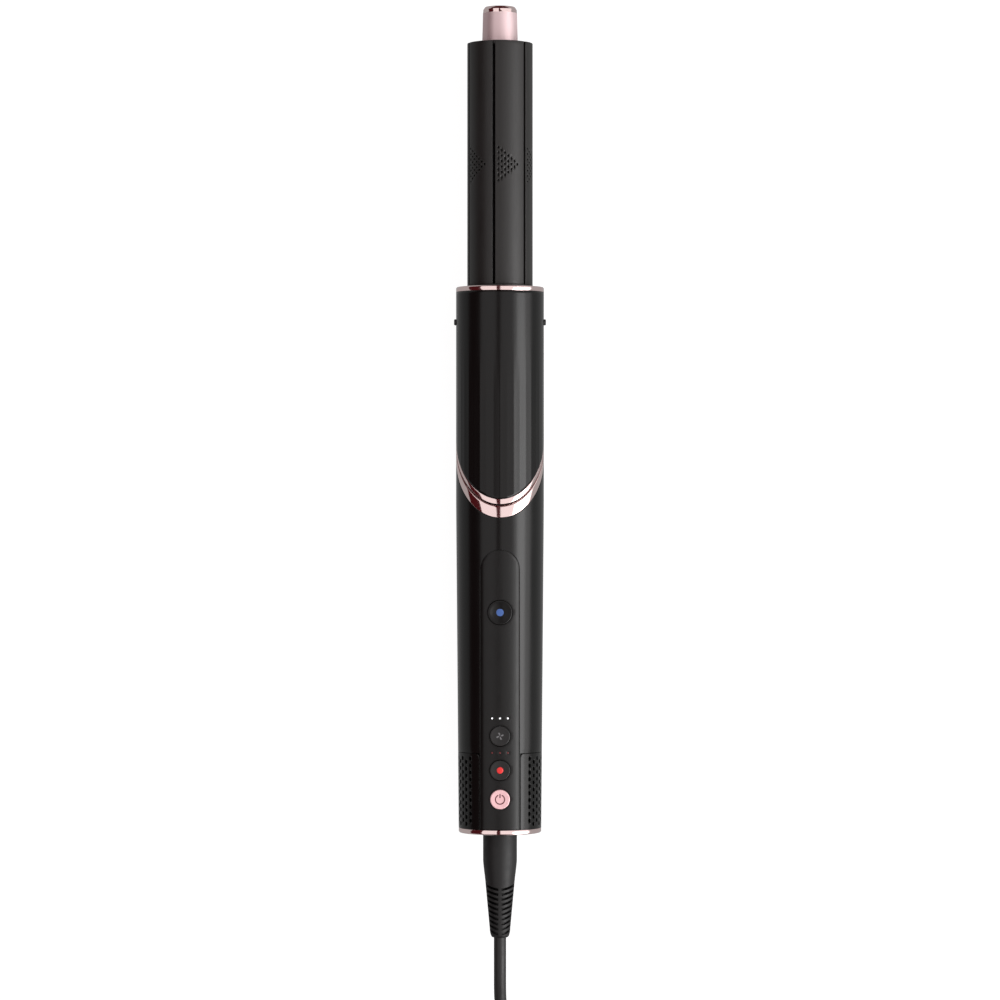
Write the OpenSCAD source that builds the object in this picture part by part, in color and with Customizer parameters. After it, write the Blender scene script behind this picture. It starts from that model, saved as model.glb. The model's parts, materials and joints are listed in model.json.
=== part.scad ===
// Hot-air curling wand: handle with motor and heater, turning head, lift-off barrel, cord and plug.
// Modelled upright (Z along the wand, buttons facing -Y), then laid on its back by lay().

/* [Handle] */
// Radius of the handle at its foot
foot_r = 20.2; // [20.1:0.1:20.5]
// Radius of the handle at the turning joint, and of the head
body_r = 21.5; // [21.4:0.1:21.6]
// Height at which the handle reaches its full radius
taper_top = 160; // [150:5:170]
// Height of the top edge of the filter cover
cover_top = 39.5; // [38:0.5:41]
// Width of the control panel
panel_w = 19; // [18:0.1:19.2]
// Height of the top of the control panel
panel_top = 138.3; // [130:0.1:142]

/* [Turning joint] */
// Height at which the slanted plane crosses the wand's axis
pivot_z = 188; // [186:0.5:190]
// Tilt of the slanted plane from square
tilt = 52.9; // [52:0.1:54]

/* [Head and barrel] */
// Height of the top of the head's shell
head_top = 264.2; // [262:0.1:268]
// Radius of the barrel
barrel_r = 16; // [15.9:0.05:16.2]
// Height of the top of the barrel
barrel_top = 386.2; // [360:0.1:400]
// Length of the cool tip
tip_len = 17.6; // [12:0.1:22]

/* [Buttons] */
// Height of the power button's centre
power_z = 17.4; // [17:0.1:18]
// Height of the temperature button's centre
temperature_z = 31.5; // [31:0.1:32]
// Height of the airflow button's centre
airflow_z = 48.1; // [47.5:0.1:48.5]
// Height of the cool-shot button's centre
cool_shot_z = 108; // [107:0.1:109]

/* [Cord] */
// Diameter of the cord
cord_d = 6; // [5.8:0.1:6]

/* [Hidden] */
$fn = 64;

gap = 0.25;             // clearance between fixed and moving casing parts
wall = 2.2;             // wall of the head and of the upper handle
bore_r = body_r - wall; // inside of the head and of the upper handle
low_bore_r = 18;        // inside of the handle behind the buttons
bore_step_z = 58;       // height at which the handle's bore widens
cover_wall = 1.2;       // wall of the filter cover
ring_h = 2.35;          // height of the base ring
tongue_z = ring_h + gap; // foot of the strip that carries the control panel
tongue_w = 19.6;        // width of that strip
pocket_d = 1;           // depth of the pocket that holds the control panel
panel_sink = 0.3;       // how far the panel's face lies under the handle's surface
lying_y = 201.9;        // from the foot to the middle of the lying wand
handle_ring_t = [-3.45, -0.3]; // the handle's slanted ring, along the turning axis
head_ring_t = [0.45, 2];       // and the head's

// Radius of the handle's surface at height z
function handle_r(z) = z < taper_top ? foot_r + (body_r - foot_r) * z / taper_top : body_r;

power_r = 4.75;
temperature_r = 4.9;
airflow_r = 4.9;
cool_shot_r = 5.85;
light_r = 0.42;
light_pitch = 3.82;
red_light_z = 40;
white_light_z = 56.7;
button_gap = 0.25;       // round each button
light_gap = 0.05;        // round each light
rim = 1;                 // how far a button's hidden flange reaches past its cap

board_y = 13;           // distance of the control board's face from the axis
board_t = 1.6;
board_w = 21;
board_z = 9;            // foot of the control board
board_h = 48;
cool_board_y = 14.4;    // distance of the cool-shot board's face from the axis
cool_board_z = 101;     // foot of the cool-shot board
cool_board_h = 14;

release_z = 249.5;      // height of the two release buttons
release_r = 1.5;
release_x = 18.1;       // inner end of each release button
release_out = 1;        // how far it stands out of the head
socket_r = 15.8;        // bore that the barrel plugs into
socket_z = 238;         // floor of that bore
seal_bore_r = 13.6;
spigot_r = 15.6;        // the barrel's plug-in foot
spigot_bore_r = 13.8;
spigot_z = 240;
collar_z = 266.9;       // underside of the barrel's collar
vane_z = 267.5;         // foot of the barrel's vanes
cap_t = 0.8;
cap_z = barrel_top - cap_t; // underside of the barrel's end cap
vane_t = 1.4;
slot_w = 1.3;           // width of the barrel's air slots
slot_angle = -11;       // direction of the first air slot, from the front

// Lay the upright wand on its back, tip towards +Y
module lay() {
    translate([0, -lying_y, body_r]) rotate([-90, 0, 0]) children();
}

// Something along +Z, turned to point out of the front at height z
module at_front(z) {
    translate([0, 0, z]) rotate([90, 0, 0]) children();
}

// The frame of the turning joint: +Z along its axis
module at_pivot() {
    translate([0, 0, pivot_z]) rotate([tilt, 0, 0]) children();
}

// Everything between two heights measured along the turning axis
module slant_slab(t0, t1) {
    at_pivot() translate([-80, -80, t0]) cube([160, 160, t1 - t0]);
}

module tube(r_out, r_in, z0, z1) {
    translate([0, 0, z0]) difference() {
        cylinder(r = r_out, h = z1 - z0);
        translate([0, 0, -1]) cylinder(r = r_in, h = z1 - z0 + 2);
    }
}

// A sleeve that follows the handle's taper, between two depths under its surface
module taper_sleeve(depth_out, depth_in, z0, z1) {
    rotate_extrude() polygon([
        [handle_r(z0) - depth_in, z0], [handle_r(z0) - depth_out, z0],
        [handle_r(z1) - depth_out, z1], [handle_r(z1) - depth_in, z1]
    ]);
}

// A strip with a round top, standing out of the front
module front_strip(w, top) {
    rotate([90, 0, 0]) linear_extrude(30) union() {
        translate([-w / 2, 0]) square([w, top - w / 2]);
        translate([0, top - w / 2]) circle(w / 2);
    }
}

module button_holes() {
    at_front(power_z) cylinder(r = power_r + button_gap, h = 30);
    at_front(temperature_z) cylinder(r = temperature_r + button_gap, h = 30);
    at_front(airflow_z) cylinder(r = airflow_r + button_gap, h = 30);
    at_front(cool_shot_z) cylinder(r = cool_shot_r + button_gap, h = 30);
    for (z = [red_light_z, white_light_z], i = [-1:1])
        translate([i * light_pitch, 0, 0]) at_front(z) cylinder(r = light_r + light_gap, h = 30);
}

// ---- handle casing ----

module handle_shell() {
    color([0.06, 0.06, 0.065]) lay() difference() {
        union() {
            rotate_extrude() polygon([
                [0, cover_top], [handle_r(cover_top), cover_top], [body_r, taper_top],
                [body_r, pivot_z + 35], [0, pivot_z + 35]
            ]);
            intersection() {
                taper_sleeve(0, 5, tongue_z, cover_top + 1);
                translate([-tongue_w / 2, -30, 0]) cube([tongue_w, 30, 60]);
            }
        }
        slant_slab(handle_ring_t[0], 100);
        translate([0, 0, -1]) cylinder(r = low_bore_r, h = 100);
        translate([0, 0, bore_step_z]) cylinder(r = bore_r, h = 200);
        intersection() {
            taper_sleeve(-2, pocket_d, 0, panel_top + 1);
            front_strip(panel_w + 0.1, panel_top + 0.05);
        }
        button_holes();
    }
}

module control_panel() {
    color([0.1, 0.1, 0.105]) lay() difference() {
        intersection() {
            taper_sleeve(panel_sink, pocket_d, tongue_z, panel_top + 1);
            front_strip(panel_w, panel_top);
        }
        button_holes();
    }
}

module handle_swivel_ring() {
    color([0.85, 0.68, 0.66]) lay() intersection() {
        tube(body_r, body_r - 3, 120, 230);
        slant_slab(handle_ring_t[0], handle_ring_t[1]);
    }
}

// ---- turning joint ----

pivot_r = 13;
clip_t = 5.2;

module swivel_plate() {
    color([0.3, 0.3, 0.32]) lay() difference() {
        intersection() {
            translate([0, 0, 120]) cylinder(r = body_r - 3, h = 120);
            slant_slab(-3.2, -1.2);
        }
        at_pivot() translate([0, 0, -10]) cylinder(r = pivot_r, h = 20);
    }
}

module swivel_tube() {
    color([0.7, 0.7, 0.72]) lay() at_pivot() difference() {
        union() {
            translate([0, 0, -12]) cylinder(r = pivot_r, h = 21);
            translate([0, 0, -5.2]) cylinder(r = pivot_r + 2.5, h = 2);
        }
        translate([0, 0, -13]) cylinder(r = pivot_r - 1.5, h = 23);
        tube(pivot_r + 1, pivot_r - 0.5, clip_t, clip_t + 1.2);
    }
}

module swivel_clip() {
    color([0.55, 0.55, 0.58]) lay() at_pivot() difference() {
        tube(pivot_r + 1.4, pivot_r - 0.5, clip_t, clip_t + 1.2);
        translate([-2, 0, clip_t - 1]) cube([4, 30, 4]);
    }
}

module swivel_collar() {
    color([0.3, 0.3, 0.32]) lay() difference() {
        intersection() {
            translate([0, 0, 120]) cylinder(r = bore_r, h = 120);
            slant_slab(2.2, 4.2);
        }
        at_pivot() cylinder(r = pivot_r + 1.5, h = 20);
    }
}

module swivel_bush() {
    color([0.9, 0.9, 0.85]) lay() at_pivot() tube(pivot_r + 1.5, pivot_r + 0.05, 1, 5);
}

// ---- air inlet, cord entry ----

inlet_plate_z = 4;
inlet_plate_t = 1.6;
inlet_plate_r = 17.4;
inlet_top = 42;
inlet_bore_r = 16.4;
clamp_z = inlet_plate_z + inlet_plate_t + 1.8;
clamp_t = 3;
clamp_screw_x = 12;
screw_z = 4.9;          // foot of the clamp's screws
screw_r = 1.4;
boss_r = 3;
screen_out = 0.4;       // how far the screen reaches past the handle's bore
screen_in = 0.15;
screen_open_w = 20.6;   // gap in the screen behind the control panel

module inlet_frame() {
    color([0.2, 0.2, 0.21]) lay() difference() {
        union() {
            tube(low_bore_r - 0.2, inlet_bore_r, inlet_plate_z, inlet_top);
            translate([0, 0, inlet_plate_z]) cylinder(r = inlet_plate_r, h = inlet_plate_t);
            for (s = [-1, 1]) translate([s * clamp_screw_x, 0, inlet_plate_z])
                cylinder(r = boss_r, h = clamp_z - inlet_plate_z);
        }
        translate([-12, -30, inlet_plate_z + inlet_plate_t]) cube([24, 20, 60]);
        translate([0, 0, -1]) cylinder(r = 8.4, h = 20);
        for (s = [-1, 1]) translate([s * clamp_screw_x, 0, screw_z]) cylinder(r = screw_r, h = 10);
        for (a = [60:40:300]) rotate([0, 0, a]) translate([-4, -30, 9]) cube([8, 20, 28]);
    }
}

module filter_screen() {
    color([0.45, 0.45, 0.47]) lay() difference() {
        tube(low_bore_r + screen_out, low_bore_r - screen_in, inlet_plate_z + 0.2, cover_top - 0.5);
        translate([-screen_open_w / 2, -30, 0]) cube([screen_open_w, 30, 60]);
    }
}

module cord_clamp() {
    color([0.5, 0.5, 0.52]) lay() difference() {
        translate([-15, -4, clamp_z]) cube([30, 8, clamp_t]);
        translate([0, 0, clamp_z - 1]) cylinder(r = cord_d / 2, h = 5);
        for (s = [-1, 1]) translate([s * clamp_screw_x, 0, clamp_z - 1]) cylinder(r = 1.5, h = 5);
    }
}

module clamp_screws() {
    color([0.75, 0.75, 0.77]) lay() for (s = [-1, 1]) translate([s * clamp_screw_x, 0, screw_z]) {
        cylinder(r = screw_r, h = clamp_z + clamp_t - screw_z);
        translate([0, 0, clamp_z + clamp_t - screw_z]) cylinder(r = 2.6, h = 1.8);
    }
}

// ---- boards, switches and lights ----

module control_board() {
    color([0.1, 0.35, 0.2]) lay() translate([-board_w / 2, -board_y, board_z])
        cube([board_w, board_t, board_h]);
}

module board_carrier() {
    color([0.22, 0.22, 0.23]) lay() difference() {
        translate([-board_w / 2, board_t - board_y, inlet_plate_z + inlet_plate_t]) cube([board_w, 2, 51.4]);
        for (z = [14, 36]) translate([-7, -board_y, z]) cube([14, 10, 16]);
    }
}

module tact_switch(z, face, top) {
    translate([-3, -face - 1, z - 3]) cube([6, 1, 6]);
    at_front(z) cylinder(r = 1.5, h = top);
}

module tact_switches() {
    color([0.15, 0.15, 0.16]) lay() difference() {
        union() {
            for (z = [power_z, temperature_z, airflow_z]) tact_switch(z, board_y, board_y + 1.6);
            tact_switch(cool_shot_z, cool_board_y, cool_board_y + 1.3);
        }
        translate([-20, -board_y, 0]) cube([40, 40, 80]);
        translate([-20, -cool_board_y, 80]) cube([40, 40, 80]);
    }
}

module cool_shot_board() {
    color([0.1, 0.35, 0.2]) lay() union() {
        translate([-9, -cool_board_y, cool_board_z]) cube([18, 1.2, cool_board_h]);
        // two legs reach the handle's wall on either side
        for (s = [-1, 1]) intersection() {
            translate([s * 9 - 1, -cool_board_y - 4, cool_board_z]) cube([2, 5.2, cool_board_h]);
            translate([0, 0, cool_board_z - 1]) cylinder(r = bore_r, h = 20);
        }
    }
}

module light_row(z) {
    for (i = [-1:1]) translate([i * light_pitch, 0, z]) rotate([90, 0, 0]) translate([0, 0, board_y])
        cylinder(r = light_r, h = handle_r(z) - panel_sink - board_y);
}

module white_lights() {
    color([0.95, 0.97, 1]) lay() light_row(white_light_z);
}

module red_lights() {
    color([0.8, 0.05, 0.03]) lay() light_row(red_light_z);
}

// ---- motor ----

motor_z0 = 59;
motor_z1 = 99;
shroud_r = 16.8;
can_r = 9.5;            // the motor's can inside the shroud
can_bore_r = 8;
shaft_r = 1.5;
bearing_r = 3.5;
bearing_z = [74.5, 93.5];
magnet_r = 4;
fan_z = 62;
fan_h = 10;
fan_r = 14.7;

module motor_housing() {
    color([0.25, 0.25, 0.27]) lay() union() {
        tube(shroud_r, 15.2, motor_z0, motor_z1);
        tube(can_r, can_bore_r, 74.5, 96.5);
        tube(can_r, bearing_r, bearing_z[0] - 1, bearing_z[0] + 3);
        tube(can_r, bearing_r, bearing_z[1], bearing_z[1] + 4);
        for (a = [0:60:300]) rotate([0, 0, a]) translate([9, -0.6, 76]) cube([6.6, 1.2, 18]);
    }
}

module motor_stator() {
    color([0.72, 0.42, 0.2]) lay() difference() {
        tube(can_bore_r, magnet_r + 0.4, 78, 93);
        for (a = [0:60:300]) rotate([0, 0, a]) translate([5.4, -1, 77]) cube([1.8, 2, 20]);
    }
}

module motor_bearings() {
    color([0.75, 0.75, 0.78]) lay() for (z = bearing_z) tube(bearing_r, shaft_r + 0.03, z, z + 3);
}

module motor_mounts() {
    color([0.12, 0.12, 0.12]) lay() for (z = [62, 90]) tube(bore_r, shroud_r, z, z + 4);
}

module impeller() {
    color([0.85, 0.85, 0.83]) lay() intersection() {
        tube(fan_r, shaft_r, fan_z, fan_z + fan_h);
        union() {
            translate([0, 0, fan_z]) cylinder(r = 5, h = fan_h);
            for (a = [0:40:320]) rotate([0, 0, a]) translate([0, 0, fan_z + fan_h / 2]) rotate([38, 0, 0])
                translate([3, -0.5, -8]) cube([14, 1, 16]);
        }
    }
}

module rotor_shaft() {
    color([0.8, 0.8, 0.82]) lay() translate([0, 0, fan_z - 1]) cylinder(r = shaft_r, h = 36);
}

module rotor_magnet() {
    color([0.35, 0.35, 0.38]) lay() tube(magnet_r, shaft_r, 79, 92);
}

// ---- heater ----

heater_z0 = 117;
heater_z1 = 150;
sleeve_r = 15.5;
sleeve_t = 0.5;
flange_t = 1.5;
coil_r = 12;
coil_wire_r = 0.5;
coil_turns = 10;
coil_pitch = 2.4;

module heater_sleeve() {
    color([0.78, 0.74, 0.62]) lay() union() {
        tube(sleeve_r, sleeve_r - sleeve_t, heater_z0, heater_z1);
        tube(bore_r, sleeve_r - sleeve_t, heater_z0, heater_z0 + flange_t);
        tube(bore_r, sleeve_r - sleeve_t, heater_z1 - flange_t, heater_z1);
    }
}

module heater_frame() {
    color([0.82, 0.78, 0.66]) lay() for (a = [0, 90]) rotate([0, 0, a]) union() {
        translate([coil_wire_r - coil_r, -0.4, heater_z0 + 2]) cube([2 * coil_r - 1, 0.8, 29]);
        for (z = [heater_z0 + 2, heater_z0 + 29]) translate([0.5 - sleeve_r, -0.4, z])
            cube([2 * sleeve_r - 1, 0.8, 2]);
    }
}

module heater_coils() {
    color([0.6, 0.5, 0.42]) lay() for (i = [0:coil_turns - 1])
        translate([0, 0, heater_z0 + 5.6 + coil_pitch * i])
        rotate_extrude() translate([coil_r, 0]) circle(coil_wire_r, $fn = 24);
}

module thermal_cutout() {
    color([0.85, 0.85, 0.85]) lay() translate([0.4, 0.4, heater_z0 + 12]) cube([5, 5, 9]);
}

// ---- cord, seen from above in the lying frame ----

relief_end = -51.6;
relief_slots = 10;
slot_pitch = 2.44;
slot_h = 1.15;
first_slot_z = -27.6;
relief_core_r = 3.8;    // solid middle behind the slots
spine_w = 1.8;          // the four ribs that join the slotted rings

// Radius of the strain relief at height z
function relief_r(z) = z > -14 ? 8.3 : 8.3 - 3.15 * (-14 - z) / 34;

module strain_relief() {
    color([0.1, 0.1, 0.1]) lay() difference() {
        rotate_extrude() polygon([
            [0, relief_end], [4.2, relief_end], [4.9, relief_end + 1], [relief_r(-48), -48],
            [relief_r(-14), -14], [relief_r(0), 5.6], [9.3, 5.6], [9.3, 7.4], [0, 7.4]
        ]);
        for (i = [0:relief_slots - 1]) difference() {
            translate([-10, -10, first_slot_z - slot_pitch * i]) cube([20, 20, slot_h]);
            translate([0, 0, -60]) cylinder(r = relief_core_r, h = 60);
            translate([-spine_w / 2, -10, -60]) cube([spine_w, 20, 60]);
            translate([-10, -spine_w / 2, -60]) cube([20, spine_w, 60]);
        }
    }
}

// The cord's centre line from the strain relief to the hank
LEAD = [
    [0, -253.5, 21.5], [0, -260, 21.4], [0, -266, 20.9], [0, -272, 19.8], [0, -278, 18.1],
    [0.1, -284, 15.8], [0.7, -290, 13.3], [2, -296, 10.9], [4.2, -302, 8.7], [7.2, -308, 6.9],
    [10.7, -314, 5.4], [14.4, -320, 4.5], [17.9, -326, 4.1], [21, -332, 4], [23.5, -338, 4],
    [25.1, -344, 4], [25.9, -350, 4], [26, -357, 4], [26, -364, 4], [26, -370, 4]
];
// and from the hank to the plug
TAIL = [
    [26, -432, 22], [26, -438, 22], [25.7, -444, 21.8], [24.6, -450, 21], [22.6, -456, 19.7],
    [20, -462, 18], [17.1, -468, 16.3], [14.6, -474, 14.8], [12.9, -480, 13.8], [12.1, -486, 13.4],
    [12, -492, 13.4]
];
hank_y = [-370, -432];
hank_r = 29;
hank_z = 1;
hank_h = 24;

function unit(v) = v / norm(v);
function heading(p, i) = unit(p[min(i + 1, len(p) - 1)] - p[max(i - 1, 0)]);
// One ring of the swept tube, square to the path
function ring(p, i, r, n) =
    let (t = heading(p, i), u = unit(cross(t, [0, 0, 1])), v = cross(u, t))
    [for (k = [0:n - 1]) p[i] + r * (cos(360 * k / n) * u + sin(360 * k / n) * v)];

module swept_tube(p, r, n = 12) {
    points = [for (i = [0:len(p) - 1]) each ring(p, i, r, n)];
    sides = [
        for (i = [0:len(p) - 2], k = [0:n - 1])
            [i * n + k, i * n + (k + 1) % n, (i + 1) * n + (k + 1) % n, (i + 1) * n + k]
    ];
    first = [for (k = [n - 1:-1:0]) k];
    last = [for (k = [0:n - 1]) (len(p) - 1) * n + k];
    polyhedron(points, concat([first], sides, [last]));
}

module cord_lead() {
    color([0.12, 0.12, 0.12]) swept_tube(LEAD, cord_d / 2);
}

module cord_tail() {
    color([0.12, 0.12, 0.12]) swept_tube(TAIL, cord_d / 2);
}

module hank_outline(r) {
    for (y = hank_y) translate([0, y]) circle(r);
    translate([-r, hank_y[1]]) square([2 * r, hank_y[0] - hank_y[1]]);
}

module cord_hank() {
    color([0.12, 0.12, 0.12]) translate([0, 0, hank_z]) linear_extrude(hank_h) hank_outline(hank_r);
}

module cord_tie() {
    color([0.05, 0.05, 0.05]) difference() {
        translate([-hank_r - 1, -408, 0]) cube([2 * hank_r + 2, 14, hank_h + 2]);
        translate([-hank_r, -420, 1]) cube([2 * hank_r, 40, hank_h]);
    }
}

plug_x = 12;
plug_z = 13.4;
plug_neck_y = -492;
plug_body_y = -514;
plug_face_y = -542;
pin_pitch = 19;
pin_r = 2.4;
pin_len = 19;

// Something along +Z, turned to point away from the wand along the plug's axis
module at_plug(y) {
    translate([plug_x, y, plug_z]) rotate([90, 0, 0]) children();
}

module plug_body() {
    color([0.1, 0.1, 0.1]) union() {
        at_plug(plug_body_y) linear_extrude(plug_body_y - plug_face_y) intersection() {
            circle(18);
            square([36, 26.6], center = true);
        }
        at_plug(plug_neck_y) cylinder(r1 = 4.6, r2 = 9, h = plug_neck_y - plug_body_y);
    }
}

module plug_pins() {
    color([0.8, 0.78, 0.7]) for (s = [-1, 1]) translate([s * pin_pitch / 2, 0, 0]) at_plug(plug_face_y)
        rotate_extrude() polygon([
            [0, 0], [pin_r, 0], [pin_r, pin_len - 1.5], [pin_r - 1, pin_len], [0, pin_len]
        ]);
}

// ---- buttons ----

dot_sink = 0.4;         // depth of the recess that holds a coloured dot

module button(z, r, flange_y) {
    at_front(z) translate([0, 0, flange_y]) {
        cylinder(r = r + rim, h = 0.8);
        cylinder(r = r, h = handle_r(z) - panel_sink - flange_y);
    }
}

module dot_recess(z, r) {
    at_front(z) translate([0, 0, handle_r(z) - panel_sink - dot_sink]) cylinder(r = r, h = 2);
}

module dot(z, r) {
    at_front(z) translate([0, 0, handle_r(z) - panel_sink - dot_sink]) cylinder(r = r, h = dot_sink + 0.05);
}

low_flange_y = 15.6;    // distance of the lower buttons' flanges from the axis
cool_flange_y = 16.6;
red_dot_r = 1.6;
blue_dot_r = 1.9;

module power_button() {
    color([0.85, 0.68, 0.66]) lay() button(power_z, power_r, low_flange_y);
}

module temperature_button() {
    color([0.07, 0.07, 0.075]) lay() difference() {
        button(temperature_z, temperature_r, low_flange_y);
        dot_recess(temperature_z, red_dot_r);
    }
}

module temperature_dot() {
    color([0.8, 0.1, 0.06]) lay() dot(temperature_z, red_dot_r);
}

module airflow_button() {
    color([0.07, 0.07, 0.075]) lay() button(airflow_z, airflow_r, low_flange_y);
}

module cool_shot_button() {
    color([0.07, 0.07, 0.075]) lay() difference() {
        button(cool_shot_z, cool_shot_r, cool_flange_y);
        dot_recess(cool_shot_z, blue_dot_r);
    }
}

module cool_shot_dot() {
    color([0.3, 0.45, 0.75]) lay() dot(cool_shot_z, blue_dot_r);
}

module release_button() {
    translate([release_x, 0, release_z]) rotate([0, 90, 0]) {
        cylinder(r = release_r + 1.3, h = 0.8);
        cylinder(r = release_r, h = body_r + release_out - release_x);
    }
}

module release_button_right() {
    color([0.05, 0.05, 0.05]) lay() release_button();
}

module release_button_left() {
    color([0.05, 0.05, 0.05]) lay() mirror([1, 0, 0]) release_button();
}

// ---- filter cover ----

hole_rows = 10;
hole_row_pitch = 3.35;
hole_columns = 8;
hole_column_pitch = 8.5;
first_hole_angle = 45;
first_hole_z = 6.65;    // middle of the lowest hole of the first column
hole_w = 1.8;
hole_h = 1.9;
lip_w = tongue_w + 2 * gap; // the cover's opening along the front

// Height of a hole's middle; every other column sits half a pitch lower
function hole_z(c, row) = first_hole_z + hole_row_pitch * (row - 0.5 * (c % 2));

module filter_cover() {
    color([0.05, 0.05, 0.055]) lay() difference() {
        union() {
            difference() {
                taper_sleeve(0, cover_wall, ring_h, cover_top - 0.15);
                translate([-lip_w / 2, -30, 0]) cube([lip_w, 30, 60]);
            }
            difference() {
                translate([0, 0, ring_h]) cylinder(r = foot_r - cover_wall + 0.1, h = 1.25);
                intersection() {
                    tube(30, low_bore_r - 0.4, 0, 10);
                    translate([-lip_w / 2, -30, 0]) cube([lip_w, 30, 60]);
                }
            }
        }
        cylinder(r = 9, h = 20);
        for (s = [-1, 1], c = [0:hole_columns - 1], row = [0:hole_rows - 1])
            rotate([0, 0, s * (first_hole_angle + hole_column_pitch * c)])
                translate([-hole_w / 2, -25, hole_z(c, row) - hole_h / 2]) cube([hole_w, 10, hole_h]);
    }
}

module base_ring() {
    color([0.85, 0.68, 0.66]) lay() rotate_extrude() polygon([
        [16.4, 0], [foot_r - 0.5, 0], [foot_r, 0.5], [foot_r, ring_h], [16.4, ring_h]
    ]);
}

// ---- head ----

module head_shell() {
    color([0.06, 0.06, 0.065]) lay() difference() {
        tube(body_r, bore_r, 120, head_top);
        slant_slab(-150, head_ring_t[1]);
        for (s = [0, 180]) rotate([0, 0, s]) translate([10, 0, release_z]) rotate([0, 90, 0])
            cylinder(r = release_r + 0.15, h = 20);
    }
}

module head_swivel_ring() {
    color([0.85, 0.68, 0.66]) lay() intersection() {
        tube(body_r, bore_r, 120, 240);
        slant_slab(head_ring_t[0], head_ring_t[1]);
    }
}

module head_top_ring() {
    color([0.85, 0.68, 0.66]) lay() rotate_extrude() polygon([
        [16.3, head_top], [body_r, head_top], [body_r, head_top + 1.9], [body_r - 0.5, head_top + 2.4],
        [16.3, head_top + 2.4]
    ]);
}

module head_socket() {
    color([0.18, 0.18, 0.19]) lay() union() {
        tube(socket_r + 1.4, socket_r, socket_z, head_top);
        tube(bore_r, seal_bore_r, socket_z - 2, socket_z);
        tube(bore_r, socket_r, head_top - 2, head_top);
    }
}

module socket_seal() {
    color([0.4, 0.12, 0.1]) lay() tube(socket_r, seal_bore_r, socket_z, spigot_z - 0.4);
}

// ---- barrel ----

dot_pitch = 1.62;       // between the columns of an arrow's holes
dot_row_pitch = 2.67;
dot_r = 0.5;
arrow_z = 325.8;

// Holes in the shape of an arrow: columns of 7, 6, 5 ... 1 holes
module arrow_holes() {
    for (c = [0:6], k = [0:6 - c])
        rotate([0, 0, (c * dot_pitch - 0.8) / barrel_r * 57.3])
            at_front(arrow_z + dot_row_pitch * (k - (6 - c) / 2)) translate([0, 0, 10])
                cylinder(r = dot_r, h = 10, $fn = 6);
}

module barrel_core() {
    color([0.2, 0.2, 0.21]) lay() union() {
        tube(10, 9, vane_z + 1, cap_z);
        for (k = [0:5]) rotate([0, 0, slot_angle + 30 + 60 * k])
            translate([-0.8, vane_t - barrel_r, vane_z]) cube([1.6, barrel_r - vane_t - 9.5, cap_z - vane_z]);
    }
}

module barrel_vanes() {
    color([0.05, 0.05, 0.055]) lay() difference() {
        tube(barrel_r, barrel_r - vane_t, vane_z, cap_z);
        for (k = [0:5]) {
            rotate([0, 0, slot_angle + 60 * k]) translate([-slot_w / 2, -30, 200]) cube([slot_w, 30, 300]);
            rotate([0, 0, 60 * k]) arrow_holes();
        }
    }
}

module barrel_collar() {
    color([0.07, 0.07, 0.075]) lay() union() {
        tube(spigot_r, spigot_bore_r, spigot_z, vane_z);
        tube(barrel_r, spigot_bore_r, collar_z, vane_z);
    }
}

module barrel_end_cap() {
    color([0.06, 0.06, 0.065]) lay() rotate_extrude() polygon([
        [0, cap_z], [barrel_r, cap_z], [barrel_r, barrel_top - 0.5], [barrel_r - 0.5, barrel_top],
        [0, barrel_top]
    ]);
}

module cool_tip() {
    color([0.88, 0.74, 0.72]) lay() rotate_extrude() polygon([
        [0, barrel_top], [8.7, barrel_top], [8.35, barrel_top + tip_len - 1.4],
        [7.1, barrel_top + tip_len], [0, barrel_top + tip_len]
    ]);
}

handle_shell();
control_panel();
handle_swivel_ring();
swivel_plate();
swivel_tube();
swivel_clip();
inlet_frame();
filter_screen();
cord_clamp();
clamp_screws();
control_board();
board_carrier();
tact_switches();
cool_shot_board();
white_lights();
red_lights();
motor_housing();
motor_stator();
motor_bearings();
motor_mounts();
heater_sleeve();
heater_frame();
heater_coils();
thermal_cutout();
strain_relief();
cord_lead();
cord_hank();
cord_tail();
cord_tie();
plug_body();
plug_pins();
impeller();
rotor_shaft();
rotor_magnet();
head_shell();
head_swivel_ring();
head_top_ring();
head_socket();
swivel_collar();
swivel_bush();
socket_seal();
release_button_left();
release_button_right();
power_button();
temperature_button();
temperature_dot();
airflow_button();
cool_shot_button();
cool_shot_dot();
filter_cover();
base_ring();
barrel_core();
barrel_vanes();
barrel_collar();
barrel_end_cap();
cool_tip();
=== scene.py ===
"""The looks of the curling wand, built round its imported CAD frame.

Everything is in metres, in the row frame: the wand lies on its back, buttons up (+Z), cool tip
towards +Y. Angles go round the wand from the button side.
"""

import json
import math

import bmesh
import bpy
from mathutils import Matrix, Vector, geometry


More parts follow.
